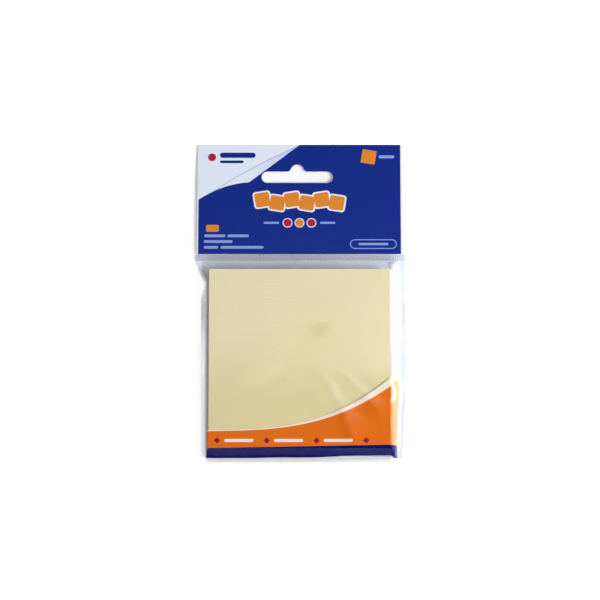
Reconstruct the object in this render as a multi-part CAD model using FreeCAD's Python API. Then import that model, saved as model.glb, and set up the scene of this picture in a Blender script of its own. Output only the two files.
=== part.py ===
"""A pad of sticky notes sealed in its clear film hanging bag, lying on its back as it rests on a table.

The pad is a square block of paper sheets with a release sheet under it. The bag is one folded
piece of film: its fold is at the foot, its two sides are welded, and a sealed band closes it above
the pad. Beyond that band the two layers of film are a sleeve for a stiff card, the header, and a
hanging slot is punched through film and card. The film hangs between the two faces of the pad, so
its welded edge runs at half the pad's height, and the header slopes down from there until its free
edge rests on the table.

Frame, in millimetres: X runs across the bag, Y from the fold towards the header, Z up from the
table, with the origin under the middle of the whole bag.
"""

import math
import os

import FreeCAD
import Part

# The pad and the release sheet under it.
PAD_WIDTH = 75.0
PAD_LENGTH = 75.0
SHEET_COUNT = 100
SHEET_THICKNESS = 0.09
RELEASE_SHEET_THICKNESS = 0.12

# The film bag.
BAG_EASE = 13.0  # how much wider the bag is than the pad
FILM_THICKNESS = 0.05
FILM_CLEARANCE = 0.05  # between the film and the paper inside it, at the sides and below
FILM_LIFT = 0.35  # how far the front layer stands off the pad's face
SHOULDER_RUN = 4.4  # in plan, from the sealed band to the pad
FOOT_RUN = 3.7  # in plan, from the pad to the fold
LEFT_RUN = 3.2  # in plan, from the pad to the left edge, which the pad pulls in
NECK_RUN = 12.0  # how far past the pad's upper edge the left edge is pulled in

# The fins, where the two layers lie flat on each other: in from each edge of the pouch.
LEFT_FIN = 1.8
RIGHT_FIN = 2.5
FOOT_FIN = 0.8
HEAD_FIN = 0.5

# The sealed band, crimped by the toothed jaws that weld it.
SEAL_LENGTH = 2.9
CRIMP_PITCH = 1.0
CRIMP_DEPTH = 0.12
CRIMP_LIP = 0.3  # the flat strip left on each side of the crimp

# The header above the sealed band.
HEADER_LENGTH = 48.0
CARD_MARGIN = 1.1  # from the card to the bag's cut edge, on each side
CARD_THICKNESS = 0.3
CARD_CLEARANCE = 0.02  # between the card and the film round it

# The hanging slot: a long slot with a round notch in the middle of its upper side.
SLOT_WIDTH = 30.0
SLOT_HEIGHT = 5.0
SLOT_DROP = 14.4  # from the header's free edge to the slot's long axis
SLOT_SHIFT = -0.9  # the punch is a little left of the header's middle
NOTCH_RADIUS = 2.8
NOTCH_RISE = 5.6  # from the slot's long axis to the top of the notch
NOTCH_FLARE = 1.8  # rounding where the notch runs out into the slot

# Widths that follow from the pad's.
BAG_WIDTH = PAD_WIDTH + BAG_EASE
CARD_WIDTH = BAG_WIDTH - 2 * CARD_MARGIN

# Heights, from the table up.
PAD_THICKNESS = SHEET_COUNT * SHEET_THICKNESS
RELEASE_SHEET_Z = FILM_THICKNESS + FILM_CLEARANCE
PAD_Z = RELEASE_SHEET_Z + RELEASE_SHEET_THICKNESS
POUCH_HEIGHT = PAD_Z + PAD_THICKNESS + FILM_LIFT + FILM_THICKNESS
WELD_Z = POUCH_HEIGHT / 2
SLEEVE_THICKNESS = CARD_THICKNESS + 2 * (CARD_CLEARANCE + FILM_THICKNESS)

# The header's slope, at which the lower corner of its free edge just meets the table.
SLOPE_LENGTH = SEAL_LENGTH + HEADER_LENGTH
SLOPE = math.asin(WELD_Z / math.hypot(SLOPE_LENGTH, SLEEVE_THICKNESS / 2)) - math.atan(
    SLEEVE_THICKNESS / 2 / SLOPE_LENGTH
)

# Stations along Y, with the origin at the middle of the bag's length.
HEADER_REACH = SLOPE_LENGTH * math.cos(SLOPE) + SLEEVE_THICKNESS / 2 * math.sin(SLOPE)
FOLD_Y = -(FOOT_RUN + PAD_LENGTH + SHOULDER_RUN + HEADER_REACH) / 2
PAD_FOOT_Y = FOLD_Y + FOOT_RUN
PAD_HEAD_Y = PAD_FOOT_Y + PAD_LENGTH
SEAL_Y = PAD_HEAD_Y + SHOULDER_RUN


def paper_block(bottom_z, thickness):
    """A stack of paper in the pad's outline."""
    corner = FreeCAD.Vector(-PAD_WIDTH / 2, PAD_FOOT_Y, bottom_z)
    return Part.makeBox(PAD_WIDTH, PAD_LENGTH, thickness, corner)


def on_slope(along, above):
    """The Y and Z of a point on the header: along its slope from the band, and above its mid-plane."""
    y = SEAL_Y + along * math.cos(SLOPE) + above * math.sin(SLOPE)
    z = WELD_Z - along * math.sin(SLOPE) + above * math.cos(SLOPE)
    return y, z


def slope_slab(start, end, width, thickness):
    """A flat slab in the header's slope, centred on its mid-plane."""
    half = thickness / 2
    corners = [on_slope(start, -half), on_slope(end, -half), on_slope(end, half), on_slope(start, half)]
    if start == 0:
        # The band's lower end is upright, to meet the pouch face to face.
        corners[0] = (SEAL_Y, WELD_Z - half)
        corners[3] = (SEAL_Y, WELD_Z + half)
    points = [FreeCAD.Vector(-width / 2, y, z) for y, z in corners]
    profile = Part.Face(Part.makePolygon(points + points[:1]))
    return profile.extrude(FreeCAD.Vector(width, 0, 0))


def slot_outline():
    """The slot's outline about its own middle, with its notch towards +Y."""
    half_height = SLOT_HEIGHT / 2
    half_straight = SLOT_WIDTH / 2 - half_height
    notch_centre_y = NOTCH_RISE - NOTCH_RADIUS
    flare_centre_y = half_height + NOTCH_FLARE
    reach = NOTCH_RADIUS + NOTCH_FLARE
    flare_centre_x = math.sqrt(reach**2 - (flare_centre_y - notch_centre_y) ** 2)
    touch = NOTCH_RADIUS / reach
    touch_x = flare_centre_x * touch
    touch_y = notch_centre_y + (flare_centre_y - notch_centre_y) * touch
    # The middle of a flare's arc, half way round from its foot on the slot to where it meets the notch.
    foot_angle = -math.pi / 2
    meet_angle = math.atan2(touch_y - flare_centre_y, touch_x - flare_centre_x)
    middle_angle = (foot_angle + meet_angle) / 2
    flare_mid_x = flare_centre_x + NOTCH_FLARE * math.cos(middle_angle)
    flare_mid_y = flare_centre_y + NOTCH_FLARE * math.sin(middle_angle)

    def point(x, y):
        return FreeCAD.Vector(x, y, 0)

    def arc(first, middle, last):
        return Part.Arc(point(*first), point(*middle), point(*last)).toShape()

    def line(first, last):
        return Part.LineSegment(point(*first), point(*last)).toShape()

    edges = [
        line((-half_straight, -half_height), (half_straight, -half_height)),
        arc((half_straight, -half_height), (SLOT_WIDTH / 2, 0), (half_straight, half_height)),
        line((half_straight, half_height), (flare_centre_x, half_height)),
        arc((flare_centre_x, half_height), (flare_mid_x, flare_mid_y), (touch_x, touch_y)),
        arc((touch_x, touch_y), (0, NOTCH_RISE), (-touch_x, touch_y)),
        arc((-touch_x, touch_y), (-flare_mid_x, flare_mid_y), (-flare_centre_x, half_height)),
        line((-flare_centre_x, half_height), (-half_straight, half_height)),
        arc((-half_straight, half_height), (-SLOT_WIDTH / 2, 0), (-half_straight, -half_height)),
    ]
    return Part.Face(Part.Wire(edges))


def slot_punch():
    """The punch that cuts the hanging slot, square to the header's slope."""
    reach = 4 * SLEEVE_THICKNESS
    punch = slot_outline().extrude(FreeCAD.Vector(0, 0, 2 * reach))
    y, z = on_slope(SLOPE_LENGTH - SLOT_DROP, -reach)
    tilt = FreeCAD.Rotation(FreeCAD.Vector(1, 0, 0), -math.degrees(SLOPE))
    punch.Placement = FreeCAD.Placement(FreeCAD.Vector(SLOT_SHIFT, y, z), tilt)
    return punch


def polygon_face(points):
    return Part.Face(Part.makePolygon(points + points[:1]))


def pouch_outline(fin_share, inset, z):
    """The pouch's outline in the weld's plane, from the band round to the band.

    fin_share is 0 for the film's cut edge and 1 for the inner edge of the fins, and inset moves the
    whole outline further in.
    """
    half_width = BAG_WIDTH / 2 - inset
    head_y = SEAL_Y - HEAD_FIN * fin_share - inset
    foot_y = FOLD_Y + FOOT_FIN * fin_share + inset
    left_x = -(PAD_WIDTH / 2 + LEFT_RUN) + LEFT_FIN * fin_share + inset
    plan = [
        (LEFT_FIN * fin_share - half_width, head_y),
        (left_x, PAD_HEAD_Y - NECK_RUN),
        (left_x, foot_y),
        (half_width - RIGHT_FIN * fin_share, foot_y),
        (half_width - RIGHT_FIN * fin_share, head_y),
    ]
    return [FreeCAD.Vector(x, y, z) for x, y in plan]


def stretched_layer(skin, weld_z, flat_z):
    """The space between the weld's plane and one layer of film, stretched flat over a face of the pad.

    skin is the film's thickness for the layer's outside and 0 for its inside.
    """
    seam = pouch_outline(1, FILM_THICKNESS - skin, weld_z)
    half_width = PAD_WIDTH / 2 + FILM_CLEARANCE + skin
    head_y = PAD_HEAD_Y + FILM_CLEARANCE + skin
    foot_y = PAD_FOOT_Y - FILM_CLEARANCE - skin
    plan = [(-half_width, head_y), (-half_width, foot_y), (half_width, foot_y), (half_width, head_y)]
    flat = [FreeCAD.Vector(x, y, flat_z) for x, y in plan]
    head_left, foot_left, foot_right, head_right = flat
    band_left, neck, fold_left, fold_right, band_right = seam
    faces = [
        polygon_face(seam),
        polygon_face(flat),
        polygon_face([band_left, band_right, head_right, head_left]),
        polygon_face([band_left, head_left, neck]),
        polygon_face([neck, head_left, foot_left, fold_left]),
        polygon_face([fold_left, foot_left, foot_right, fold_right]),
        polygon_face([fold_right, foot_right, head_right, band_right]),
    ]
    solid = Part.Solid(Part.Shell(faces))
    if solid.Volume < 0:
        solid.reverse()
    return solid


def pouch():
    """The two layers of film round the pad, hollow, with their fins as a thin flat edge."""
    upper = stretched_layer(FILM_THICKNESS, WELD_Z + FILM_THICKNESS, POUCH_HEIGHT)
    lower = stretched_layer(FILM_THICKNESS, WELD_Z - FILM_THICKNESS, 0.0)
    fins = polygon_face(pouch_outline(0, 0, WELD_Z - FILM_THICKNESS))
    fins = fins.extrude(FreeCAD.Vector(0, 0, 2 * FILM_THICKNESS))
    upper_space = stretched_layer(0, WELD_Z, POUCH_HEIGHT - FILM_THICKNESS)
    lower_space = stretched_layer(0, WELD_Z, FILM_THICKNESS)
    return fins.fuse([upper, lower]).cut(upper_space.fuse(lower_space))


def crimp():
    """The crimped strip of the sealed band: both layers pressed into one row of small pleats."""
    half_teeth = 2 * int(BAG_WIDTH / CRIMP_PITCH)
    step = BAG_WIDTH / half_teeth
    zigzag = [(k * step - BAG_WIDTH / 2, CRIMP_DEPTH / 2 * (-1) ** k) for k in range(half_teeth + 1)]
    start_y, start_z = on_slope(CRIMP_LIP, 0)
    upright = FreeCAD.Vector(0, math.sin(SLOPE), math.cos(SLOPE))
    origin = FreeCAD.Vector(0, start_y, start_z)
    across = FreeCAD.Vector(1, 0, 0)
    upper = [origin + across * x + upright * (z + FILM_THICKNESS) for x, z in zigzag]
    lower = [origin + across * x + upright * (z - FILM_THICKNESS) for x, z in reversed(zigzag)]
    along = FreeCAD.Vector(0, math.cos(SLOPE), -math.sin(SLOPE))
    return polygon_face(upper + lower).extrude(along * (SEAL_LENGTH - 2 * CRIMP_LIP))


def card_space():
    """The pocket in the film that holds the card."""
    clearance = CARD_CLEARANCE
    start = SEAL_LENGTH - clearance
    end = SLOPE_LENGTH - FILM_THICKNESS
    return slope_slab(start, end, CARD_WIDTH + 2 * clearance, CARD_THICKNESS + 2 * clearance)


def film_bag():
    """The whole bag: the pouch, the sealed band, and the sleeve round the card."""
    lip = slope_slab(0, CRIMP_LIP, BAG_WIDTH, 2 * FILM_THICKNESS)
    layers = slope_slab(SEAL_LENGTH - CRIMP_LIP, SLOPE_LENGTH, BAG_WIDTH, 2 * FILM_THICKNESS)
    sleeve_width = CARD_WIDTH + 2 * (CARD_CLEARANCE + FILM_THICKNESS)
    sleeve_start = SEAL_LENGTH - CARD_CLEARANCE - FILM_THICKNESS
    sleeve = slope_slab(sleeve_start, SLOPE_LENGTH, sleeve_width, SLEEVE_THICKNESS)
    bag = pouch().fuse([lip, crimp(), layers, sleeve]).cut([card_space(), slot_punch()])
    return bag.removeSplitter()


def header_card():
    """The stiff card in the sleeve, with the slot punched through it."""
    end = SLOPE_LENGTH - FILM_THICKNESS - CARD_CLEARANCE
    card = slope_slab(SEAL_LENGTH, end, CARD_WIDTH, CARD_THICKNESS)
    return card.cut(slot_punch())


def write_part(name, shape):
    """Writes a node's one solid to its own file."""
    if len(shape.Solids) != 1:
        raise ValueError(f"{name} has {len(shape.Solids)} solids instead of one")
    shape.Solids[0].exportStep(os.path.join("parts", name + ".step"))


def main():
    os.makedirs("parts", exist_ok=True)
    write_part("note_pad", paper_block(PAD_Z, PAD_THICKNESS))
    write_part("release_sheet", paper_block(RELEASE_SHEET_Z, RELEASE_SHEET_THICKNESS))
    write_part("film_bag", film_bag())
    write_part("header_card", header_card())


main()
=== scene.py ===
"""Looks of a sticky note pad in its clear film hanging bag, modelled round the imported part.

The film is a draped skin that takes its size and place from the frame. The print on it and on the
header card is worked out in each material from real sizes. The prints and the drape are drawn in
millimetres, and all other lengths are in metres.
"""

import math
import random

import bmesh
import bpy
import numpy as np
from mathutils import Euler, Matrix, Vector


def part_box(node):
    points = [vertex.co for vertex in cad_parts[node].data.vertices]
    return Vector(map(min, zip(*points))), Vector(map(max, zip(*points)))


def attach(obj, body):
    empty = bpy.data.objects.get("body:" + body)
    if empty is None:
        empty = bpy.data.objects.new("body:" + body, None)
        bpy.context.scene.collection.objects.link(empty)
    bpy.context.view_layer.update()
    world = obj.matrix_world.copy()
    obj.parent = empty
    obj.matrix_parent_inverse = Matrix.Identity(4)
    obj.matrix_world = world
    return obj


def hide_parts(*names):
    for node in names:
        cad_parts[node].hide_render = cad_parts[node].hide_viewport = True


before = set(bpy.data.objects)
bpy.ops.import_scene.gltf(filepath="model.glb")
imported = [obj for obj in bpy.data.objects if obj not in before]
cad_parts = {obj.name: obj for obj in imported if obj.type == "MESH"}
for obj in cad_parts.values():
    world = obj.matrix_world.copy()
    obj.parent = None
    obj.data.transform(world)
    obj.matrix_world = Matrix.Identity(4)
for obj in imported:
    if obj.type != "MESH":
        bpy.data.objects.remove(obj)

bl_info = {
    "name": "Sticky Note Pad in a Hanging Bag",
    "version": (1, 0, 0),
    "blender": (4, 5, 0),
    "location": "View3D > Sidebar > Note Pad",
    "description": "Builds the draped film, the paper block, the printed header and the studio",
    "category": "Object",
}

MM = 0.001
BODY = "root"
PAD_LOW, PAD_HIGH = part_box("note_pad")
BAG_LOW, BAG_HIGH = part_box("film_bag")
CARD_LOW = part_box("header_card")[0]
PAD_MIDDLE = (PAD_LOW + PAD_HIGH) / 2


def linear(code):
    """The linear colour of an sRGB hex value."""
    channels = [int(code[i : i + 2], 16) / 255 for i in (1, 3, 5)]
    return [c / 12.92 if c <= 0.04045 else ((c + 0.055) / 1.055) ** 2.4 for c in channels]


def length(name, description, default_mm):
    """A length that a user can change, given here in millimetres."""
    return bpy.props.FloatProperty(
        name=name, description=description, default=default_mm * MM, unit="LENGTH", precision=5
    )


def colour(name, description, code):
    """A colour that a user can change, given here as an sRGB hex value."""
    return bpy.props.FloatVectorProperty(
        name=name, description=description, default=linear(code), subtype="COLOR", min=0, max=1
    )


class PaperSettings(bpy.types.PropertyGroup):
    sheet: length("Sheet", "Thickness of one note", 0.09)
    unevenness: length("Unevenness", "How far a sheet's edge may stand out of the block", 0.05)
    note_colour: colour("Note", "Pastel paper of the notes", "#EADAA4")
    note_shade: colour("Note shade", "Darker fibres in the notes", "#E2D196")
    sheet_gap_shade: colour("Sheet edges", "Shade between the sheets at the block's sides", "#C9BC8A")
    release_colour: colour("Release sheet", "Siliconed white sheet under the block", "#F2F2EE")


class FilmSettings(bpy.types.PropertyGroup):
    wall: length("Wall", "Thickness of the film", 0.045)
    shoulder: length("Shoulder", "Plan length from the pad to the sealed band", 4.4)
    left_reach: length("Left reach", "From the pad to the film's left edge", 3.4)
    foot_reach: length("Foot reach", "From the pad to the fold", 3.7)
    seal: length("Seal", "Length of the crimped band", 2.9)
    tooth: length("Tooth", "Pitch of the crimped band's teeth", 1.0)
    lift: length("Lift", "How far the loose film stands off the notes at the right", 0.8)
    tint: colour("Tint", "What one surface of the film lets through", "#FBFCFE")
    crimp_tint: colour("Crimp tint", "What one surface of the crimped film lets through", "#EAEAF1")
    haze: colour("Haze", "Light that the film scatters", "#E4EAF4")


class PrintSettings(bpy.types.PropertyGroup):
    blue: colour("Blue", "Header's field", "#0C2B88")
    stripe: colour("Stripe", "Blue stripe at the foot of the film", "#000C5E")
    corner: colour("Corner", "Pale corner of the header", "#F0F4FC")
    curl: colour("Curl", "Turned edge of the pale corner", "#C2D2F4")
    orange: colour("Orange", "Curved band on the film", "#DD6B16")
    amber: colour("Amber", "Notes printed on the header", "#EA8E2E")
    white: colour("White", "Borders of the notes and dots, and bars on the film", "#F6F5F8")
    small: colour("Small bars", "Small bars and the pill's outline on the header", "#93A5E2")
    cream: colour("Cream", "Line along the curved band", "#F0DEC8")
    red: colour("Red", "Small marks", "#B81F3C")
    board: colour("Board", "Unprinted board", "#F0F0EC")


class StageSettings(bpy.types.PropertyGroup):
    elevation: bpy.props.FloatProperty(
        name="Elevation",
        description="Camera's angle above the table",
        default=math.radians(79.6),
        subtype="ANGLE",
    )
    distance: length("Distance", "From the camera to the object", 1428)
    frame_width: length("Frame width", "What the picture spans at the object", 250.1)
    aim_x: length("Aim X", "Where the camera looks, across", 0.21)
    aim_y: length("Aim Y", "Where the camera looks, along", -0.33)
    aim_z: length("Aim Z", "Where the camera looks, above the table", 4.0)
    floor: colour("Floor", "Table and background", "#EDEDED")


def deselect_all():
    """Leaves nothing selected, in object mode."""
    if bpy.context.object and bpy.context.object.mode != "OBJECT":
        bpy.ops.object.mode_set(mode="OBJECT")
    bpy.ops.object.select_all(action="DESELECT")


def pick(obj):
    """Makes obj the only selected and the active object."""
    deselect_all()
    obj.select_set(True)
    bpy.context.view_layer.objects.active = obj


def add_node(tree, kind, inputs=None, **settings):
    """A shader node with its settings, and its inputs set to values or linked to sockets."""
    node = tree.nodes.new("ShaderNode" + kind)
    for name, value in settings.items():
        setattr(node, name, value)
    for name, value in (inputs or {}).items():
        if isinstance(value, bpy.types.NodeSocket):
            tree.links.new(value, node.inputs[name])
        else:
            node.inputs[name].default_value = value
    return node


def new_material(name):
    """An empty node material and its output node."""
    material = bpy.data.materials.new(name)
    material.use_nodes = True
    tree = material.node_tree
    tree.nodes.clear()
    output = add_node(tree, "OutputMaterial")
    return material, tree, output


def opaque(rgb):
    """The colour with an alpha of 1."""
    return (*rgb, 1.0)


def finish_piece(obj, slot_name, *nodes):
    """Places a finished piece in the frame and hides the imported parts that it stands in for."""
    pick(obj)
    bpy.ops.object.transform_apply(location=True, rotation=True, scale=True)
    if nodes:
        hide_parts(*nodes)
    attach(obj, BODY)
    deselect_all()


def bar_mask(tree, point, bar, softness=0.06):
    """1 inside a rounded bar, and 0 outside it. All in the units of point.

    bar is (centre x, centre y, width, height, corner radius, turn in degrees).
    """
    x, y, width, height, radius, turn = bar
    moved = add_node(tree, "VectorMath", {0: point, 1: (x, y, 0)}, operation="SUBTRACT")
    if turn:
        moved = add_node(
            tree, "VectorRotate", {"Vector": moved.outputs[0], "Angle": -math.radians(turn)},
            rotation_type="Z_AXIS",
        )
    folded = add_node(tree, "VectorMath", {0: moved.outputs[0]}, operation="ABSOLUTE")
    core = (width / 2 - radius, height / 2 - radius, 0)
    past = add_node(tree, "VectorMath", {0: folded.outputs[0], 1: core}, operation="SUBTRACT")
    outside = add_node(tree, "VectorMath", {0: past.outputs[0], 1: (0, 0, 0)}, operation="MAXIMUM")
    away = add_node(tree, "VectorMath", {0: outside.outputs[0]}, operation="LENGTH")
    edge = add_node(
        tree, "Math",
        {0: away.outputs["Value"], 1: -1 / softness, 2: 0.5 + radius / softness},
        operation="MULTIPLY_ADD", use_clamp=True,
    )
    return edge.outputs[0]


def bars_mask(tree, point, bars, softness=0.06):
    """1 inside any of the bars."""
    total = None
    for bar in bars:
        mask = bar_mask(tree, point, bar, softness)
        if total is not None:
            mask = add_node(tree, "Math", {0: total, 1: mask}, operation="MAXIMUM").outputs[0]
        total = mask
    return total


def paint(tree, base, mask, over):
    """base with the colour over laid on it where mask is 1."""
    return add_node(
        tree, "Mix", {0: mask, 6: base, 7: over}, data_type="RGBA", clamp_factor=True
    ).outputs[2]


def step_mask(tree, value, threshold, softness):
    """0 where value is under threshold and 1 where it is over, with a soft edge of that width."""
    return add_node(
        tree, "Math", {0: value, 1: 1 / softness, 2: 0.5 - threshold / softness},
        operation="MULTIPLY_ADD", use_clamp=True,
    ).outputs[0]


# Paper pieces


def note_paper(paper):
    """Uncoated pastel note paper, machine made: matt, faintly mottled, with fine fibres.

    The sheets show at the block's sides as fine lines of painted shade between them. At 0.09 mm
    they are too fine to see, so the lines are drawn 0.36 mm apart.
    """
    cloud_mm, fibre_mm, line_mm = 9, 0.35, 0.36
    material, tree, output = new_material("uncoated_pastel_paper")
    place = add_node(tree, "TexCoord").outputs["Object"]
    cloud = add_node(
        tree, "TexNoise", {"Vector": place, "Scale": 1 / (cloud_mm * MM), "Detail": 3.0}
    )
    fibre = add_node(
        tree, "TexNoise", {"Vector": place, "Scale": 1 / (fibre_mm * MM), "Detail": 2.0}
    )
    mixed = add_node(
        tree, "Mix", {0: 0.45, 2: cloud.outputs[0], 3: fibre.outputs[0]}, data_type="FLOAT"
    )
    base = paint(tree, opaque(paper.note_colour), mixed.outputs[0], opaque(paper.note_shade))
    stretch = add_node(tree, "Mapping", {"Vector": place, "Scale": (25, 25, 1 / (line_mm * MM))})
    lines = add_node(tree, "TexNoise", {"Vector": stretch.outputs[0], "Scale": 1.0, "Detail": 2.0})
    faces = add_node(tree, "NewGeometry")
    upright = add_node(tree, "SeparateXYZ", {0: faces.outputs["Normal"]})
    slant = add_node(tree, "Math", {0: upright.outputs["Z"]}, operation="ABSOLUTE")
    side = add_node(tree, "Math", {0: slant.outputs[0], 1: 0.5}, operation="LESS_THAN")
    # Painted shade between the sheets, on the block's sides alone.
    dark = step_mask(tree, lines.outputs[0], 0.52, 0.16)
    edge = add_node(tree, "Math", {0: dark, 1: side.outputs[0]}, operation="MULTIPLY")
    base = paint(tree, base, edge.outputs[0], opaque(paper.sheet_gap_shade))
    bump = add_node(
        tree, "Bump", {"Height": fibre.outputs[0], "Strength": 0.15, "Distance": 0.03 * MM}
    )
    shader = add_node(
        tree, "BsdfPrincipled",
        {
            "Base Color": base, "Roughness": 0.9, "Specular IOR Level": 0.3,
            "Normal": bump.outputs[0],
        },
    )
    tree.links.new(shader.outputs[0], output.inputs["Surface"])
    return material


def release_paper(paper):
    """Siliconed glassine release paper, calendered: white, smooth, with a low sheen."""
    material, tree, output = new_material("siliconed_release_paper")
    place = add_node(tree, "TexCoord").outputs["Object"]
    cloud = add_node(tree, "TexNoise", {"Vector": place, "Scale": 1 / (2.5 * MM), "Detail": 4.0})
    rough = add_node(
        tree, "MapRange", {"Value": cloud.outputs[0], "To Min": 0.38, "To Max": 0.55}
    )
    bump = add_node(
        tree, "Bump", {"Height": cloud.outputs[0], "Strength": 0.1, "Distance": 0.05 * MM}
    )
    shade = [0.94 * c for c in paper.release_colour]
    base = paint(tree, opaque(paper.release_colour), cloud.outputs[0], opaque(shade))
    shader = add_node(
        tree, "BsdfPrincipled",
        {"Base Color": base, "Roughness": rough.outputs[0], "Normal": bump.outputs[0]},
    )
    tree.links.new(shader.outputs[0], output.inputs["Surface"])
    return material


class NOTEPAD_OT_note_block(bpy.types.Operator):
    """Stack the notes: a block whose sheets stand a little unevenly at its sides"""

    bl_idname = "notepad.note_block"
    bl_label = "Note block"
    FOLLOW = 0.6  # how much of its own offset a sheet takes, against the one under it

    def execute(self, context):
        paper = context.scene.notepad_paper
        steps = random.Random(11)
        size = PAD_HIGH - PAD_LOW
        count = round(size.z / paper.sheet)
        thickness = size.z / count
        deselect_all()
        bpy.ops.mesh.primitive_plane_add(size=1, location=(PAD_MIDDLE.x, PAD_MIDDLE.y, PAD_LOW.z))
        block = context.object
        block.name = "note_block"
        block.scale = (size.x, size.y, 1)
        bpy.ops.object.transform_apply(location=True, rotation=True, scale=True)
        bpy.ops.object.mode_set(mode="EDIT")
        bpy.ops.mesh.select_all(action="SELECT")
        drift = Vector((0, 0))
        for sheet in range(count):
            bpy.ops.mesh.extrude_region_move(TRANSFORM_OT_translate={"value": (0, 0, thickness)})
            if sheet == count - 1:
                break
            target = Vector((steps.uniform(-1, 1), steps.uniform(-1, 1))) * paper.unevenness
            shift = (target - drift) * self.FOLLOW
            drift += shift
            slide = {"value": (shift.x, shift.y, 0)}
            bpy.ops.mesh.extrude_region_move(TRANSFORM_OT_translate=slide)
        bpy.ops.mesh.select_all(action="SELECT")
        bpy.ops.mesh.normals_make_consistent(inside=False)
        bpy.ops.object.mode_set(mode="OBJECT")
        block.data.materials.append(note_paper(paper))
        finish_piece(block, "note_paper", "note_pad")
        return {"FINISHED"}


class NOTEPAD_OT_release_sheet(bpy.types.Operator):
    """Give the release sheet its siliconed paper"""

    bl_idname = "notepad.release_sheet"
    bl_label = "Release sheet"

    def execute(self, context):
        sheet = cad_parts["release_sheet"]
        sheet.data.materials.clear()
        sheet.data.materials.append(release_paper(context.scene.notepad_paper))
        return {"FINISHED"}


# Header card


def header_slope():
    """The header's slope in radians, and the corner of the card's back face next to the band."""
    corners = [v.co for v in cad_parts["header_card"].data.vertices]
    near = min(corners, key=lambda c: c.y)
    low = min(corners, key=lambda c: c.z)
    return math.atan2(near.z - low.z, low.y - near.y), near


def card_place(tree):
    """Millimetres on the card: across from its middle, up from its lower edge, out of its back."""
    slope, near = header_slope()
    place = add_node(tree, "TexCoord").outputs["Object"]
    turn = Euler((slope, 0, 0))
    origin = turn.to_matrix() @ Vector((0, near.y, near.z)) / MM
    mapped = add_node(
        tree, "Mapping",
        {"Vector": place, "Location": -origin, "Rotation": turn, "Scale": (1 / MM, 1 / MM, 1 / MM)},
    )
    return mapped.outputs[0]


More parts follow.
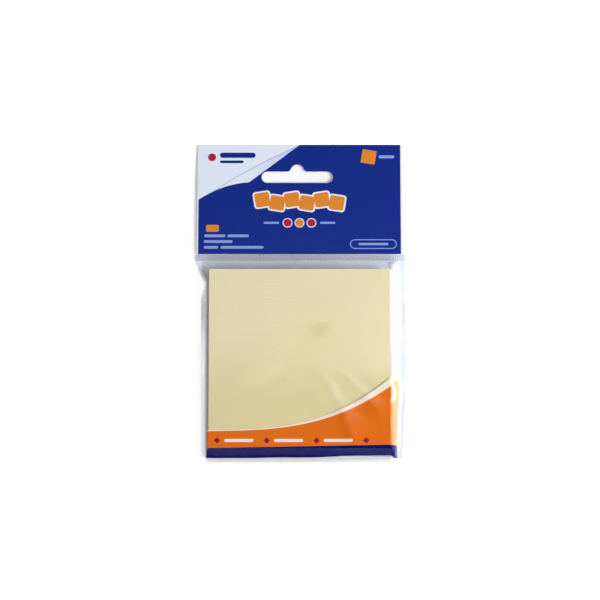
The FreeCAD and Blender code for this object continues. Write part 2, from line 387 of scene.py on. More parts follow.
def printed_card(ink):
    """Solid bleached board, offset printed on its front: an even, slightly satin coat of ink."""
    material, tree, output = new_material("offset_printed_board")
    place = card_place(tree)
    split = add_node(tree, "SeparateXYZ", {0: place})
    across, up, out = split.outputs
    flat = add_node(tree, "CombineXYZ", {0: across, 1: up}).outputs[0]
    white = opaque(ink.white)
    amber = opaque(ink.amber)
    blue = opaque(ink.blue)

    # The pale corner's edge is a straight cut down to its kink, and then a slow arch to the left.
    cut = add_node(
        tree, "Math", {0: across, 1: 0.779, 2: 47.85}, operation="MULTIPLY_ADD"
    ).outputs[0]
    off_top = add_node(tree, "Math", {0: across, 1: 19.5}, operation="ADD").outputs[0]
    squared = add_node(tree, "Math", {0: off_top, 1: off_top}, operation="MULTIPLY").outputs[0]
    arch = add_node(
        tree, "Math", {0: squared, 1: -0.0146, 2: 31.4}, operation="MULTIPLY_ADD"
    ).outputs[0]
    corner_edge = add_node(tree, "Math", {0: cut, 1: arch}, operation="MAXIMUM").outputs[0]
    above = add_node(tree, "Math", {0: up, 1: corner_edge}, operation="SUBTRACT").outputs[0]
    corner_mask = step_mask(tree, above, 0, 0.15)

    # The turned edge is a strip along the cut, bounded by a faint crease.
    bow = add_node(tree, "Math", {0: across, 1: 18}, operation="ADD").outputs[0]
    bow = add_node(tree, "Math", {0: bow, 1: bow}, operation="MULTIPLY").outputs[0]
    chord = add_node(
        tree, "Math", {0: across, 1: 0.555, 2: 48.6}, operation="MULTIPLY_ADD"
    ).outputs[0]
    crease = add_node(
        tree, "Math", {0: bow, 1: -0.0035, 2: chord}, operation="MULTIPLY_ADD"
    ).outputs[0]
    past_crease = add_node(tree, "Math", {0: up, 1: crease}, operation="SUBTRACT").outputs[0]
    # It is shaded most at its upper end, where it turns most.
    turned = paint(tree, opaque(ink.corner), step_mask(tree, across, -10, 20), opaque(ink.curl))
    corner_colour = paint(tree, turned, step_mask(tree, past_crease, 0, 0.5), opaque(ink.corner))
    line = add_node(tree, "Math", {0: past_crease}, operation="ABSOLUTE").outputs[0]
    line_mask = add_node(
        tree, "Math", {0: line, 1: -1 / 0.35, 2: 1.0}, operation="MULTIPLY_ADD", use_clamp=True
    ).outputs[0]
    corner_colour = paint(tree, corner_colour, line_mask, opaque([0.75 * c for c in ink.curl]))
    face = paint(tree, blue, corner_mask, corner_colour)

    emblem = [(-36.8, 42.4, 3.4, 3.4, 1.7, 0)]
    emblem_bars = [(-26.0, 43.3, 15.0, 2.3, 1.1, 0), (-28.5, 40.4, 10.0, 1.2, 0.6, 0)]
    face = paint(tree, face, bars_mask(tree, flat, emblem), opaque(ink.red))
    face = paint(tree, face, bars_mask(tree, flat, emblem_bars), blue)

    # A row of tilted notes, each with a white border.
    notes = [
        (-15.6 + 6.25 * k, 23.0 + 0.7 * (-1) ** k, 6.2, 6.2, 0.9, 9 * (-1) ** k) for k in range(6)
    ]
    borders = [(x, y, w + 1.3, h + 1.3, r + 0.5, t) for x, y, w, h, r, t in notes]
    face = paint(tree, face, bars_mask(tree, flat, borders), white)
    face = paint(tree, face, bars_mask(tree, flat, notes), amber)

    dots = [(-5.0 + 5.0 * k, 13.6, 3.4, 3.4, 1.7, 0) for k in range(3)]
    rims = [(x, y, w + 0.7, h + 0.7, r + 0.35, t) for x, y, w, h, r, t in dots]
    face = paint(tree, face, bars_mask(tree, flat, rims), white)
    face = paint(tree, face, bars_mask(tree, flat, dots[0::2]), opaque(ink.red))
    face = paint(tree, face, bars_mask(tree, flat, dots[1:2]), amber)

    small_note = [(29.1, 42.6, 6.0, 6.0, 0.3, -9)]
    badge = [(-36.4, 11.2, 5.4, 3.0, 0.7, 0)]
    face = paint(tree, face, bars_mask(tree, flat, small_note + badge), amber)
    small = opaque(ink.small)
    pill = [(30.9, 4.3, 19.6, 4.2, 2.1, 0)]
    pill_inside = [(30.9, 4.3, 18.8, 3.4, 1.7, 0)]
    bars = [
        (36.6, 42.6, 6.6, 1.3, 0.6, 0),
        (-35.4, 7.9, 9.0, 1.2, 0.6, 0), (-25.6, 7.9, 9.0, 1.2, 0.6, 0),
        (-34.0, 5.4, 12.0, 1.2, 0.6, 0),
        (-37.0, 2.9, 6.0, 1.2, 0.6, 0), (-24.0, 2.9, 18.0, 1.2, 0.6, 0),
        (30.9, 4.3, 12.5, 1.0, 0.5, 0),
        (-11.8, 13.6, 6.5, 0.9, 0.45, 0), (11.8, 13.6, 6.5, 0.9, 0.45, 0),
    ]
    face = paint(tree, face, bars_mask(tree, flat, pill), small)
    face = paint(tree, face, bars_mask(tree, flat, pill_inside), blue)
    face = paint(tree, face, bars_mask(tree, flat, bars), small)

    # The print stops short of the card's sides and lower edge, and is on the front alone.
    rim = bar_mask(tree, flat, (0, 24.1, 84.8, 48.3, 0.05, 0))
    front = step_mask(tree, out, 0.28, 0.01)
    printed = add_node(tree, "Math", {0: rim, 1: front}, operation="MULTIPLY").outputs[0]
    base = paint(tree, opaque(ink.board), printed, face)
    grain = add_node(tree, "TexNoise", {"Vector": place, "Scale": 1.6, "Detail": 3.0})
    rough = add_node(tree, "MapRange", {"Value": grain.outputs[0], "To Min": 0.42, "To Max": 0.56})
    bump = add_node(
        tree, "Bump", {"Height": grain.outputs[0], "Strength": 0.08, "Distance": 0.02 * MM}
    )
    shader = add_node(
        tree, "BsdfPrincipled",
        {
            "Base Color": base, "Roughness": rough.outputs[0], "Specular IOR Level": 0.04,
            "Normal": bump.outputs[0],
        },
    )
    tree.links.new(shader.outputs[0], output.inputs["Surface"])
    return material


class NOTEPAD_OT_header_card(bpy.types.Operator):
    """Print the header card"""

    bl_idname = "notepad.header_card"
    bl_label = "Header card"

    def execute(self, context):
        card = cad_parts["header_card"]
        card.data.materials.clear()
        card.data.materials.append(printed_card(context.scene.notepad_print))
        return {"FINISHED"}


# Film bag

FILM_INDEX = 1.3
FILM_ROUGHNESS = 0.15
CRIMP_ROUGHNESS = 0.25
WAVE_MM, WAVE_DEPTH_MM = 8, 0.1
HAZE = "haze"
FILM_MAP = "film_map"
MAP_SPAN_MM = 200.0
FILM_GAP = 0.05 * MM
LAYER_GAP = 0.05 * MM


def film_shader(tree, film, tint, haze, roughness, normal):
    """Clear film: most light goes straight through, some is scattered, and the rest is mirrored."""
    through = add_node(tree, "BsdfTransparent", {"Color": opaque(tint)})
    milk = add_node(tree, "BsdfDiffuse", {"Color": opaque(film.haze)})
    body = add_node(tree, "MixShader", {0: haze, 1: through.outputs[0], 2: milk.outputs[0]})
    return with_gloss(tree, body.outputs[0], roughness, normal)


def with_gloss(tree, under, roughness, normal):
    """A shader under the film's glossy surface, which mirrors more at a glance.

    The film is too thin to bend light, so each wall mirrors once, on the side that a ray comes to
    first.
    """
    gloss = add_node(tree, "BsdfGlossy", {"Roughness": roughness, "Normal": normal})
    share = add_node(tree, "Fresnel", {"IOR": FILM_INDEX, "Normal": normal})
    faces = add_node(tree, "NewGeometry")
    front = add_node(tree, "Math", {0: 1.0, 1: faces.outputs["Backfacing"]}, operation="SUBTRACT")
    share = add_node(tree, "Math", {0: share.outputs[0], 1: front.outputs[0]}, operation="MULTIPLY")
    mixed = add_node(tree, "MixShader", {0: share.outputs[0], 1: under, 2: gloss.outputs[0]})
    return mixed.outputs[0]


def film_bump(tree, size_mm, depth_mm):
    """The slight unevenness of limp film, as a bump of that size and depth."""
    place = add_node(tree, "TexCoord").outputs["Object"]
    waves = add_node(
        tree, "TexNoise", {"Vector": place, "Scale": 1 / (size_mm * MM), "Detail": 1.0}
    )
    return add_node(
        tree, "Bump", {"Height": waves.outputs[0], "Strength": 1.0, "Distance": depth_mm * MM}
    ).outputs[0]


def haze_share(tree):
    """How much of the light the film scatters, as the draped skin says for each of its places; in
    parts this stands for painted shade, highlight and reflection.
    """
    return add_node(tree, "Attribute", attribute_name=HAZE).outputs["Fac"]


def clear_film(film):
    """Cast polypropylene film: clear, glossy, slightly wavy."""
    material, tree, output = new_material("clear_cast_film")
    bump = film_bump(tree, WAVE_MM, WAVE_DEPTH_MM)
    shader = film_shader(tree, film, film.tint, 0.001, FILM_ROUGHNESS, bump)
    tree.links.new(shader, output.inputs["Surface"])
    return material


def crimped_film(film):
    """The same film, welded by toothed jaws: whitened by heat and pressure, most at each tooth."""
    material, tree, output = new_material("crimped_cast_film")
    place = add_node(tree, "TexCoord").outputs["Object"]
    across = add_node(tree, "SeparateXYZ", {0: place}).outputs[0]
    turn = add_node(tree, "Math", {0: across, 1: 2 * math.pi / film.tooth}, operation="MULTIPLY")
    wave = add_node(tree, "Math", {0: turn.outputs[0]}, operation="COSINE")
    white = add_node(
        tree, "MapRange",
        {"Value": wave.outputs[0], "From Min": -1.0, "From Max": 1.0, "To Min": 0.0, "To Max": 0.1},
    )
    bump = film_bump(tree, 1.5, 0.05)
    shader = film_shader(tree, film, film.crimp_tint, white.outputs[0], CRIMP_ROUGHNESS, bump)
    tree.links.new(shader, output.inputs["Surface"])
    return material


def printed_film(film, ink):
    """The film's inner side, reverse printed: solid ink under the gloss, and clear film beside it.

    Places come from the film's own map, in millimetres from the pad's foot edge and its middle. The
    clear film is hazier along its welded edges, and its haze over the notes is painted reflection.
    Past the pad's edge the ink carries a painted glare.
    """
    tilt = -0.0185  # the print lies a little turned on the film
    foot_end, stripe_top, band_low = -5.6, 0.75, 7.75
    middle, half = 1.1, 41.6
    glare_from, glare_softness, glare_share = 38.3, 1.2, 0.75
    material, tree, output = new_material("reverse_printed_film")
    flat = add_node(tree, "UVMap", uv_map=FILM_MAP).outputs[0]
    spread = add_node(
        tree, "Mapping",
        {
            "Vector": flat,
            "Location": (-MAP_SPAN_MM / 2, -MAP_SPAN_MM / 2, 0),
            "Scale": (MAP_SPAN_MM, MAP_SPAN_MM, 1),
        },
    ).outputs[0]
    split = add_node(tree, "SeparateXYZ", {0: spread})
    across = split.outputs[0]
    up = add_node(
        tree, "Math", {0: across, 1: tilt, 2: split.outputs[1]}, operation="MULTIPLY_ADD"
    ).outputs[0]

    # The orange band's upper edge runs level, then sweeps up to the right, with a cream line on it.
    run = add_node(tree, "Math", {0: across, 1: 32.0}, operation="ADD").outputs[0]
    run = add_node(tree, "Math", {0: run, 1: 0.0}, operation="MAXIMUM").outputs[0]
    sweep = add_node(tree, "Math", {0: run, 1: 2.8}, operation="POWER").outputs[0]
    band_top = add_node(
        tree, "Math", {0: sweep, 1: 1.2e-4, 2: band_low}, operation="MULTIPLY_ADD"
    ).outputs[0]
    line_width = add_node(
        tree, "Math", {0: sweep, 1: 2.1e-5, 2: 0.5}, operation="MULTIPLY_ADD"
    ).outputs[0]
    over_band = add_node(tree, "Math", {0: up, 1: band_top}, operation="SUBTRACT").outputs[0]
    over_line = add_node(
        tree, "Math", {0: over_band, 1: line_width}, operation="SUBTRACT"
    ).outputs[0]
    face = paint(tree, opaque(ink.orange), step_mask(tree, over_band, 0, 0.15), opaque(ink.cream))
    bars = [(x, 3.2, 12.0, 1.3, 0.65, 0) for x in (-25.0, -4.5, 16.0)]
    diamonds = [(x, 3.2, 1.9, 1.9, 0.3, 45) for x in (-34.0, -13.5, 7.0, 27.5)]
    pale = opaque([0.75 * w + 0.25 * o for w, o in zip(ink.white, ink.orange)])
    dark_red = opaque([0.6 * c for c in ink.red])
    face = paint(tree, face, bars_mask(tree, spread, bars), pale)
    face = paint(tree, face, bars_mask(tree, spread, diamonds), dark_red)
    stripe = add_node(
        tree, "Math", {0: 1.0, 1: step_mask(tree, up, stripe_top, 0.1)}, operation="SUBTRACT"
    ).outputs[0]
    face = paint(tree, face, stripe, opaque(ink.stripe))

    # The ink ends above the line, at the foot and towards both sides.
    below_line = add_node(
        tree, "Math", {0: 1.0, 1: step_mask(tree, over_line, 0, 0.15)}, operation="SUBTRACT"
    )
    above_foot = step_mask(tree, up, foot_end, 0.1)
    inside = add_node(tree, "Math", {0: across, 1: middle}, operation="SUBTRACT").outputs[0]
    inside = add_node(tree, "Math", {0: inside}, operation="ABSOLUTE").outputs[0]
    between = add_node(
        tree, "Math", {0: 1.0, 1: step_mask(tree, inside, half, 0.1)}, operation="SUBTRACT"
    )
    cover = add_node(tree, "Math", {0: below_line.outputs[0], 1: above_foot}, operation="MULTIPLY")
    cover = add_node(
        tree, "Math", {0: cover.outputs[0], 1: between.outputs[0]}, operation="MULTIPLY"
    )
    haze = haze_share(tree)
    bump = film_bump(tree, WAVE_MM, WAVE_DEPTH_MM)
    clear = film_shader(tree, film, film.tint, haze, FILM_ROUGHNESS, bump)
    ink_coat = add_node(tree, "BsdfDiffuse", {"Color": face})
    # Past the pad's edge the ink has light behind it and lets some through, with a pale see-through
    # tint that paints a glare on the film's slope, which starts further out on the dark stripe.
    past = add_node(
        tree, "Math", {0: stripe, 1: -2.4, 2: across}, operation="MULTIPLY_ADD"
    ).outputs[0]
    glare_mask = step_mask(tree, past, glare_from, glare_softness)
    glare_mask = add_node(tree, "Math", {0: glare_mask, 1: glare_share}, operation="MULTIPLY").outputs[0]
    orange_glare, stripe_glare = (1.0, 1.0, 0.62, 1.0), (0.35, 0.4, 1.0, 1.0)
    light = paint(tree, orange_glare, stripe, stripe_glare)
    glare_through = add_node(tree, "BsdfTransparent", {"Color": paint(tree, face, 0.65, light)})
    inked = add_node(tree, "MixShader", {0: glare_mask, 1: ink_coat.outputs[0], 2: glare_through.outputs[0]})
    shader = add_node(tree, "MixShader", {0: cover.outputs[0], 1: clear, 2: inked.outputs[0]})
    tree.links.new(shader.outputs[0], output.inputs["Surface"])
    return material


def smooth(t):
    """0 below 0, 1 above 1, and an even S curve between."""
    t = np.clip(t, 0, 1)
    return t * t * (3 - 2 * t)


def through(y, points):
    """A smooth curve through a few (y, value) points, in millimetres."""
    ys, values = zip(*sorted(points))
    k = np.clip(np.searchsorted(ys, y) - 1, 0, len(ys) - 2)
    low, high = np.array(ys)[k], np.array(ys)[k + 1]
    t = smooth((y - low) / (high - low))
    return np.array(values)[k] * (1 - t) + np.array(values)[k + 1] * t


def swell(x, y, middle, reach, height):
    """A broad, soft rise of the film, all in millimetres."""
    return height * np.exp(-(((x - middle[0]) / reach[0]) ** 2) - ((y - middle[1]) / reach[1]) ** 2)


def facet(x, y, apex, left, right, height, crest=-0.6):
    """A creased fold: it widens and rises from its apex to the line from left to right, and ends.

    crest is where its edge lies between its two sides, from -1 to 1. All in millimetres.
    """
    apex, left, right = (np.array(corner, dtype=float) for corner in (apex, left, right))
    axis = (left + right) / 2 - apex
    half = np.hypot(*(right - left)) / 2
    span = np.hypot(*axis)
    run = ((x - apex[0]) * axis[0] + (y - apex[1]) * axis[1]) / span**2
    off = ((y - apex[1]) * axis[0] - (x - apex[0]) * axis[1]) / span
    share = off / np.maximum(run * half, 0.01)
    rise = np.minimum((share + 1) / (crest + 1), (1 - share) / (1 - crest))
    return height * np.clip(rise, 0, 1) * np.clip(run, 0, 1) * smooth((1.1 - run) / 0.3)


def side_shares(cells, power):
    """Shares of the way from the film's edge in to the pad, closer together near the pad."""
    return np.linspace(1, 0, cells + 1)[:-1] ** power


class Drape:
    """The draped film's front and back as grids of points, in millimetres.

    The columns run from the left edge to the right, and the rows from the fold to the mouth.
    """

    SIDE_CELLS = 14
    INNER_CELLS = 96
    EDGE = 0.15  # the film turns down this far beyond the pad's edge

    def __init__(self, film):
        self.film = film
        self.half = (PAD_HIGH.x - PAD_LOW.x) / 2 / MM + self.EDGE
        self.foot = PAD_LOW.y / MM - self.EDGE
        self.head = PAD_HIGH.y / MM + self.EDGE
        self.weld = BAG_HIGH.z / MM / 2
        self.top = PAD_HIGH.z / MM + FILM_GAP / MM
        self.columns = self.stations()
        self.rows = self.stations()

    def stations(self):
        """Rows of (share out on the low side, place within -1 to 1, share out on the high side)."""
        low = [(s, -1.0, 0.0) for s in side_shares(self.SIDE_CELLS, 1.4)]
        # A sine sets the inner cells closer together towards the pad's edges.
        places = np.sin(np.linspace(-1, 1, self.INNER_CELLS + 1) * math.pi / 2 * 0.93)
        inner = [(0.0, p / places[-1], 0.0) for p in places]
        high = [(0.0, 1.0, s) for s in side_shares(self.SIDE_CELLS, 1.4)[::-1]]
        return np.array(low + inner + high)

    def plan(self):
        """X and Y of each grid point, and how far out towards each edge it lies."""
        film = self.film
        left, p, right = self.columns.T
        foot, q, head = self.rows.T
        y = (self.foot + self.head) / 2 + q * (self.head - self.foot) / 2
        y = y - foot * (film.foot_reach / MM - self.EDGE) + head * (film.shoulder / MM - self.EDGE)
        pad_head = PAD_HIGH.y / MM
        bag_half = BAG_HIGH.x / MM
        left_most = self.half + film.left_reach / MM
        left_edge = through(y, [
            (self.foot - 4, left_most - 0.2), (-25, left_most), (pad_head - 12.5, left_most),
            (pad_head - 6, self.half + 2.3), (pad_head + 1.5, bag_half - 1.6),
            (self.head + 4.25, bag_half),
        ])
        right_edge = through(y, [
            (self.foot - 4, bag_half - 1.3), (self.foot + 22, bag_half - 0.1),
            (-18, bag_half + 0.3), (pad_head, bag_half), (self.head + 4.25, bag_half),
        ])
        x = p[None, :] * self.half - left[None, :] * (left_edge - self.half)[:, None]
        x = x + right[None, :] * (right_edge - self.half)[:, None]
        return x, np.broadcast_to(y[:, None], x.shape).copy()

    def drop(self, y, x):
        """How far down from the pad's face to the weld each point lies, from 0 to 1."""
        left, _, right = self.columns.T
        foot, _, head = self.rows.T
        # The share of the way out at which the film reaches the weld wanders along each side.
        left_run = 0.47 + 0.05 * np.sin(y / 6.0) + 0.04 * np.sin(y / 2.7 + 1)
        pull = 0.2 * np.exp(-(((y + 40) / 5) ** 2))
        right_run = 0.62 + 0.05 * np.sin(y / 8.5 + 2) + 0.03 * np.sin(y / 3.1) + pull
        foot_run = 0.82 + 0.03 * np.sin(x / 5.0)
        side = left[None, :] / left_run + right[None, :] / right_run
        end = foot[:, None] / foot_run + head[:, None] / 0.97
        d = (side**6 + end**6) ** (1 / 6)
        # The right side bulges, and the others hang in.
        bulge = (right[None, :] / right_run) ** 2 / (side**2 + end**2 + 1e-9)
        return 1 - np.clip(1 - d, 0, 1) ** (1.2 - 0.45 * bulge)

    def seam(self, x, y):
        """Height of the weld, which waves along the fins and is level at the sealed band."""
        calm = smooth((self.head + 4.0 - y) / 9)
        waves = 0.35 * np.sin(y / 7.0 + 0.6) + 0.2 * np.sin(y / 3.3 + 2 * np.sign(x))
        sides = smooth((np.abs(x) - self.half) / 3) * waves
        foot = smooth((self.foot - y) / 2) * (0.2 * np.sin(x / 9 + 1) + 0.1 * np.sin(x / 3.7))
        return self.weld + calm * (sides - 0.5 * smooth((np.abs(x) - self.half) / 5)) + foot

    def lift(self, x, y):
        """How far the loose front film stands off the notes."""
        loose = self.film.lift / MM * smooth((x + 8) / 42) * np.exp(-(((y + 34) / 24) ** 2))
        lift = 0.03 + loose
        # Three creased folds fan out from the middle, and bulges lie between them.
        lift = lift + facet(x, y, (7.2, -27.5), (19.4, -60), (32.6, -60), 0.78, -0.45)
        lift = lift + facet(x, y, (15, -28.5), (32.3, -52.5), (39.3, -46), 0.45, -0.4)
        lift = lift + facet(x, y, (2, -10), (-14, -34), (-7, -38), 0.16, 0.3)
        for middle, reach, height in (
            ((8.4, -8.6), (5.4, 6.2), 0.5), ((24, -4), (14, 12), 0.2),
            ((-22, -14), (12, 18), 0.14), ((-18, -44), (14, 10), 0.14),
        ):
            lift = lift + swell(x, y, middle, reach, height)
        return lift + 0.03 * (1 + np.sin(x / 6 + y / 11)) * (1 + np.sin(y / 9 - x / 17)) / 2

    def layers(self):
        """The front and the back layer's outer points, in metres."""
        x, y = self.plan()
        drop = self.drop(y, x)
        seam = self.seam(x, y)
        gap = LAYER_GAP / MM
        flat = self.top + self.film.wall / MM + self.lift(x, y)
        front = (seam + gap) * drop + flat * (1 - drop)
        under = (seam - gap) * drop
        return np.stack([x, y, front], 2) * MM, np.stack([x, y, under], 2) * MM

    def map_places(self, front):
        """Places of the front's points on the flat film, from the pad's middle and foot edge."""
        rows, columns = front.shape[:2]
        foot_row = self.SIDE_CELLS
        steps = np.linalg.norm(np.diff(front, axis=1), axis=2)
        across = np.concatenate([np.zeros((rows, 1)), np.cumsum(steps, axis=1)], axis=1)
        across -= across[:, columns // 2][:, None]
        # Beyond the foot edge the print's ends run on straight down.
        across[:foot_row] = across[foot_row]
        steps = np.linalg.norm(np.diff(front, axis=0), axis=2)
        up = np.concatenate([np.zeros((1, columns)), np.cumsum(steps, axis=0)], axis=0)
        return across, up - up[foot_row]

    def haze(self):
        """How hazy the film's inner side is: most where its two layers are welded, far more on the
        right fin than on the left. Some of it is painted light: a grey patch of painted shade on
        the left fin, a painted highlight on a crease by the band, and a veil of painted reflection
        over the notes.
        """
        x, y = self.plan()
        fins = smooth((self.drop(y, x) - 0.985) / 0.015)
        head = smooth((y - PAD_HIGH.y / MM + 5) / 6)
        # The left fin is clear but for a grey patch of painted shade, and a little hazier by the
        # band.
        left = 0.04 + swell(x, y, (-42, -5), (9, 9), 0.3) + 0.1 * head
        # A short crease crosses the corner by the band, drawn as a painted highlight.
        crease = facet(x, y, (-38.2, 11.6), (-43.7, 14.4), (-42.8, 15.8), 0.5, 0)
        # Over the notes a milky veil is painted reflection: it grows towards the top, is left off
        # in a few soft patches and along one fold, and is thicker along another fold.
        unveiled = swell(x, y, (4, -18), (15, 13), 1) + swell(x, y, (-6, -45), (22, 17), 1)
        unveiled = unveiled + facet(x, y, (13, -28), (26, -43.5), (28.5, -41), 2, 0)
        loose = 0.06 * np.clip(1 - unveiled, 0, 1) * smooth((y + 66) / 45)
        loose = loose + 0.12 * facet(x, y, (7.3, -27), (16.5, -55.8), (31, -55.2), 1, -0.5)
        on_notes = self.drop(y, x) < 0.01
        return 0.004 + crease + loose * on_notes + np.where(x < 0, left, 0.8) * fins


def film_pouch(film):
    """The pouch as one folded sheet with its sides welded, given its thickness."""
    drape = Drape(film)
    front, back = drape.layers()
    front_u, front_v = drape.map_places(front)
    points = np.concatenate([back[::-1], front]).reshape(-1, 3)
    # Only the front is printed, so the back lies off the map's lower end.
    across = np.concatenate([front_u[::-1], front_u]).ravel()
    up = np.concatenate([np.full_like(front_v, -MAP_SPAN_MM / 2 * MM), front_v]).ravel()
    haze = drape.haze()
    haze = np.concatenate([haze[::-1], haze]).ravel()
    rows = 2 * len(drape.rows)
    columns = len(drape.columns)
    deselect_all()
    bpy.ops.mesh.primitive_grid_add(x_subdivisions=columns - 1, y_subdivisions=rows - 1, size=1)
    pouch = bpy.context.object
    pouch.data.vertices.foreach_set("co", points.astype(np.float32).ravel())
    mesh = bmesh.new()
    mesh.from_mesh(pouch.data)
    mesh.verts.ensure_lookup_table()
    for column in (0, columns - 1):
        for row in range(rows // 2 - 1):
            ring = [
                (rows // 2 + row, column), (rows // 2 + row + 1, column),
                (rows // 2 - row - 2, column), (rows // 2 - row - 1, column),
            ]
            mesh.faces.new([mesh.verts[r * columns + c] for r, c in ring])
    bmesh.ops.recalc_face_normals(mesh, faces=mesh.faces)
    hazy = mesh.verts.layers.float.new(HAZE)
    for vertex in mesh.verts:
        vertex[hazy] = haze[vertex.index]
    layer = mesh.loops.layers.uv.get(FILM_MAP) or mesh.loops.layers.uv.new(FILM_MAP)
    for face in mesh.faces:
        face.smooth = True
        for loop in face.loops:
            k = loop.vert.index
            loop[layer].uv = (0.5 + across[k] / MM / MAP_SPAN_MM, 0.5 + up[k] / MM / MAP_SPAN_MM)
    mesh.to_mesh(pouch.data)
    mesh.free()
    for unused in [m.name for m in pouch.data.uv_layers if m.name != FILM_MAP]:
        pouch.data.uv_layers.remove(pouch.data.uv_layers[unused])
    pouch.data.materials.append(clear_film(film))
    pouch.data.materials.append(printed_film(film, bpy.context.scene.notepad_print))
    pick(pouch)
    wall = pouch.modifiers.new("wall", "SOLIDIFY")
    wall.thickness = film.wall
    wall.offset = -1
    wall.use_rim = True
    wall.material_offset = 1
    bpy.ops.object.modifier_apply(modifier=wall.name)
    return pouch


def film_header(film, cut_y):
    """The sealed band and the sleeve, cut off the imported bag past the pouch."""
    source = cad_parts["film_bag"]
    header = bpy.data.objects.new("film_header", source.data.copy())
    bpy.context.scene.collection.objects.link(header)
    pick(header)
    bpy.ops.object.mode_set(mode="EDIT")
    bpy.ops.mesh.select_all(action="SELECT")
    bpy.ops.mesh.remove_doubles(threshold=1e-6)
    bpy.ops.mesh.select_all(action="SELECT")
    bpy.ops.mesh.bisect(plane_co=(0, cut_y, 0), plane_no=(0, 1, 0), use_fill=True, clear_inner=True)
    bpy.ops.mesh.select_all(action="SELECT")
    bpy.ops.mesh.dissolve_limited(angle_limit=math.radians(0.5))
    # Cuts through the slot's ends and its notch leave the sleeve's faces without long slivers.
    for x_mm in (-17.5, -0.9, 15.7):
        bpy.ops.mesh.select_all(action="SELECT")
        bpy.ops.mesh.bisect(plane_co=(x_mm * MM, 0, 0), plane_no=(1, 0, 0))
    bpy.ops.object.mode_set(mode="OBJECT")
    header.data.materials.clear()
    header.data.materials.append(clear_film(film))
    header.data.materials.append(crimped_film(film))
    for face in header.data.polygons:
        face.material_index = 1 if face.center.y < cut_y + film.seal else 0
    return header


class NOTEPAD_OT_film_bag(bpy.types.Operator):
    """Drape the film over the block, and join it to the sealed band and the header's sleeve"""

    bl_idname = "notepad.film_bag"
    bl_label = "Film bag"

    def execute(self, context):
        film = context.scene.notepad_film
        pouch = film_pouch(film)
        pick(pouch)
        bpy.ops.object.shade_smooth_by_angle(angle=math.radians(40))
        header = film_header(film, PAD_HIGH.y + film.shoulder)
        pick(header)
        bpy.ops.object.shade_flat()
        pouch.select_set(True)
        context.view_layer.objects.active = pouch
        bpy.ops.object.join()
        pouch.name = "draped_film_bag"
        finish_piece(pouch, "clear_film", "film_bag")
        return {"FINISHED"}


# Stage


def backdrop_share(tree):
    """1 for rays that see the stage, in view, mirrored or through film, and 0 for its light."""
    path = add_node(tree, "LightPath")
    seen = add_node(
        tree, "Math", {0: path.outputs["Is Camera Ray"], 1: path.outputs["Is Glossy Ray"]},
        operation="MAXIMUM",
    )
    return add_node(
        tree, "Math",
        {0: seen.outputs[0], 1: path.outputs["Is Transmission Ray"]},
        operation="MAXIMUM",
    ).outputs[0]


def floor_material(stage):
    """Matt white table: its own light lifts it to white in view, and the lift is cut back in set
    shapes under and round the object, which paints shade there.
    """
    material, tree, output = new_material("matt_white_table")
    place = add_node(tree, "TexCoord").outputs["Object"]
    # Painted shade: under the pad, in a strip past its foot, and by the band's shoulder and corner,
    # the table gets no lift.
    left, right = PAD_LOW.x - 1.7 * MM, PAD_HIGH.x + 1.0 * MM
    front, rear = PAD_LOW.y - 5.3 * MM, CARD_LOW.y
    shade_footprint = ((left + right) / 2, (front + rear) / 2, right - left, rear - front, 1 * MM, 0)
    shoulder = (-4.0 * MM, PAD_HIGH.y + 3.2 * MM, 75 * MM, 4.6 * MM, 1 * MM, 0)
    corner = (-40.2 * MM, PAD_HIGH.y + 1.0 * MM, 9.5 * MM, 3.0 * MM, 1 * MM, -63)
    under = bars_mask(tree, place, [shade_footprint, shoulder, corner], 1.5 * MM)
    # Near the object mirrored rays get no lift either, so film mirrors the table there darker:
    # partly its real shade, partly painted shade.
    near = (0, -50 * MM, BAG_HIGH.x - BAG_LOW.x + 6 * MM, 240 * MM, 1 * MM, 0)
    mirrored = add_node(tree, "LightPath").outputs["Is Glossy Ray"]
    mirrored = add_node(
        tree, "Math", {0: bar_mask(tree, place, near, 2.0 * MM), 1: mirrored}, operation="MULTIPLY"
    )
    under = add_node(
        tree, "Math", {0: under, 1: mirrored.outputs[0]}, operation="MAXIMUM"
    ).outputs[0]
    # Under the header the lift is cut from 0.66 to 0.12, which paints shade there.
    low, high = PAD_HIGH.y + 4.2 * MM, BAG_HIGH.y
    band = (0.5 * MM, (low + high) / 2, 88.5 * MM, high - low, 1 * MM, 0)
    header = bar_mask(tree, place, band, 2.0 * MM)
    strength = add_node(tree, "MapRange", {"Value": header, "To Min": 0.66, "To Max": 0.12})
    strength = add_node(
        tree, "MapRange", {"Value": under, "To Min": strength.outputs[0], "To Max": 0.0}
    )
    diffuse = add_node(tree, "BsdfDiffuse", {"Color": opaque(stage.floor)})
    glow = add_node(tree, "Emission", {"Strength": strength.outputs[0]})
    lifted = add_node(tree, "AddShader", {0: diffuse.outputs[0], 1: glow.outputs[0]})
    shader = add_node(
        tree, "MixShader", {0: backdrop_share(tree), 1: diffuse.outputs[0], 2: lifted.outputs[0]}
    )
    tree.links.new(shader.outputs[0], output.inputs["Surface"])
    return material


def add_lamp(name, place, aim, width, depth, power, diffuse=True):
    """A soft box at place that faces aim, or one that only shows in glossy surfaces."""
    data = bpy.data.lights.new(name, "AREA")
    data.shape = "RECTANGLE"
    data.size = width
    data.size_y = depth
    data.energy = power
    lamp = bpy.data.objects.new(name, data)
    lamp.location = place
    lamp.rotation_euler = (Vector(aim) - Vector(place)).to_track_quat("-Z", "Y").to_euler()
    lamp.visible_camera = False
    lamp.visible_diffuse = diffuse
    bpy.context.scene.collection.objects.link(lamp)


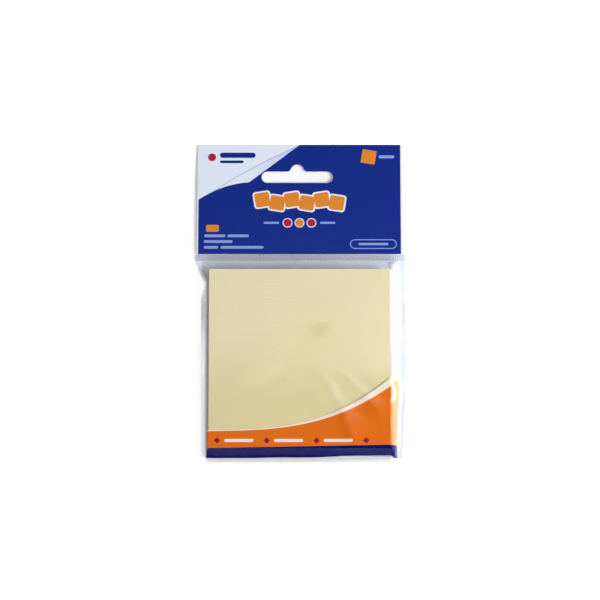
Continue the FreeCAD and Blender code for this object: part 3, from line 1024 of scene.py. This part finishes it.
class NOTEPAD_OT_stage(bpy.types.Operator):
    """Lay the table, hang the lamps and set the camera"""

    bl_idname = "notepad.stage"
    bl_label = "Stage"

    def execute(self, context):
        stage = context.scene.notepad_stage
        deselect_all()
        bpy.ops.mesh.primitive_circle_add(
            vertices=96, radius=3.0, fill_type="NGON", location=(0, 0, -0.02 * MM)
        )
        floor = context.object
        floor.name = "table"
        floor.data.materials.append(floor_material(stage))
        bpy.ops.object.transform_apply(location=True, rotation=True, scale=True)

        world = bpy.data.worlds.new("studio")
        context.scene.world = world
        world.use_nodes = True
        tree = world.node_tree
        tree.nodes.clear()
        # The studio is white all round, and greyer overhead, where flat film mirrors it.
        direction = add_node(tree, "TexCoord").outputs["Generated"]
        sides = add_node(tree, "SeparateXYZ", {0: direction}).outputs
        slant = add_node(tree, "Math", {0: sides[0], 1: sides[1]}, operation="ADD").outputs[0]
        wall = add_node(
            tree, "MapRange",
            {"Value": slant, "From Min": -0.6, "From Max": 0.3, "To Min": 0.25, "To Max": 1.0},
            interpolation_type="SMOOTHSTEP",
        )
        path = add_node(tree, "LightPath")
        wall = add_node(
            tree, "Math",
            {0: wall.outputs[0], 1: path.outputs["Is Camera Ray"]},
            operation="MAXIMUM",
        )
        seen = add_node(
            tree, "MapRange",
            {
                "Value": sides[2], "From Min": 0.45, "From Max": 0.9,
                "To Min": wall.outputs[0], "To Max": 0.06,
            },
            interpolation_type="SMOOTHSTEP",
        )
        strength = add_node(
            tree, "MapRange",
            {"Value": backdrop_share(tree), "To Min": 0.5, "To Max": seen.outputs[0]},
        )
        background = add_node(tree, "Background", {"Strength": strength.outputs[0]})
        output = add_node(tree, "OutputWorld")
        tree.links.new(background.outputs[0], output.inputs["Surface"])

        middle = (0, 0, 0.005)
        add_lamp("key", (0.50, -0.16, 0.62), middle, 0.27, 0.27, 5.1)
        add_lamp("top", (0.0, 0.055, 0.30), (0.0, 0.055, 0), 0.19, 0.075, 0.34, diffuse=False)
        add_lamp("side", (0.60, 0.10, 0.07), middle, 0.3, 0.05, 2.6)
        add_lamp("left", (-0.60, 0.10, 0.08), middle, 0.06, 0.05, 0.3)

        camera = bpy.data.objects.new("camera", bpy.data.cameras.new("camera"))
        context.scene.collection.objects.link(camera)
        aim = Vector((stage.aim_x, stage.aim_y, stage.aim_z))
        back = Vector((0, -math.cos(stage.elevation), math.sin(stage.elevation)))
        camera.location = aim + back * stage.distance
        camera.rotation_euler = (-back).to_track_quat("-Z", "Y").to_euler()
        camera.data.lens = camera.data.sensor_width * stage.distance / stage.frame_width
        camera.data.clip_start = 0.05
        context.scene.camera = camera
        context.scene.view_settings.view_transform = "Standard"
        return {"FINISHED"}


class NOTEPAD_PT_panel(bpy.types.Panel):
    """Lists the pieces and the stage in the order in which they are made"""

    bl_label = "Note Pad"
    bl_idname = "NOTEPAD_PT_panel"
    bl_space_type = "VIEW_3D"
    bl_region_type = "UI"
    bl_category = "Note Pad"

    def draw(self, context):
        for operator in OPERATORS:
            self.layout.operator(operator.bl_idname)


SETTINGS = {
    "notepad_paper": PaperSettings,
    "notepad_film": FilmSettings,
    "notepad_print": PrintSettings,
    "notepad_stage": StageSettings,
}
OPERATORS = (
    NOTEPAD_OT_note_block,
    NOTEPAD_OT_release_sheet,
    NOTEPAD_OT_header_card,
    NOTEPAD_OT_film_bag,
    NOTEPAD_OT_stage,
)


def register():
    for name, group in SETTINGS.items():
        bpy.utils.register_class(group)
        setattr(bpy.types.Scene, name, bpy.props.PointerProperty(type=group))
    for operator in OPERATORS:
        bpy.utils.register_class(operator)
    bpy.utils.register_class(NOTEPAD_PT_panel)


def unregister():
    bpy.utils.unregister_class(NOTEPAD_PT_panel)
    for operator in reversed(OPERATORS):
        bpy.utils.unregister_class(operator)
    for name, group in reversed(SETTINGS.items()):
        delattr(bpy.types.Scene, name)
        bpy.utils.unregister_class(group)


def main():
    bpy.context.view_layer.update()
    register()
    bpy.ops.notepad.note_block()
    bpy.ops.notepad.release_sheet()
    bpy.ops.notepad.header_card()
    bpy.ops.notepad.film_bag()
    bpy.ops.notepad.stage()


if __name__ == "__main__":
    main()
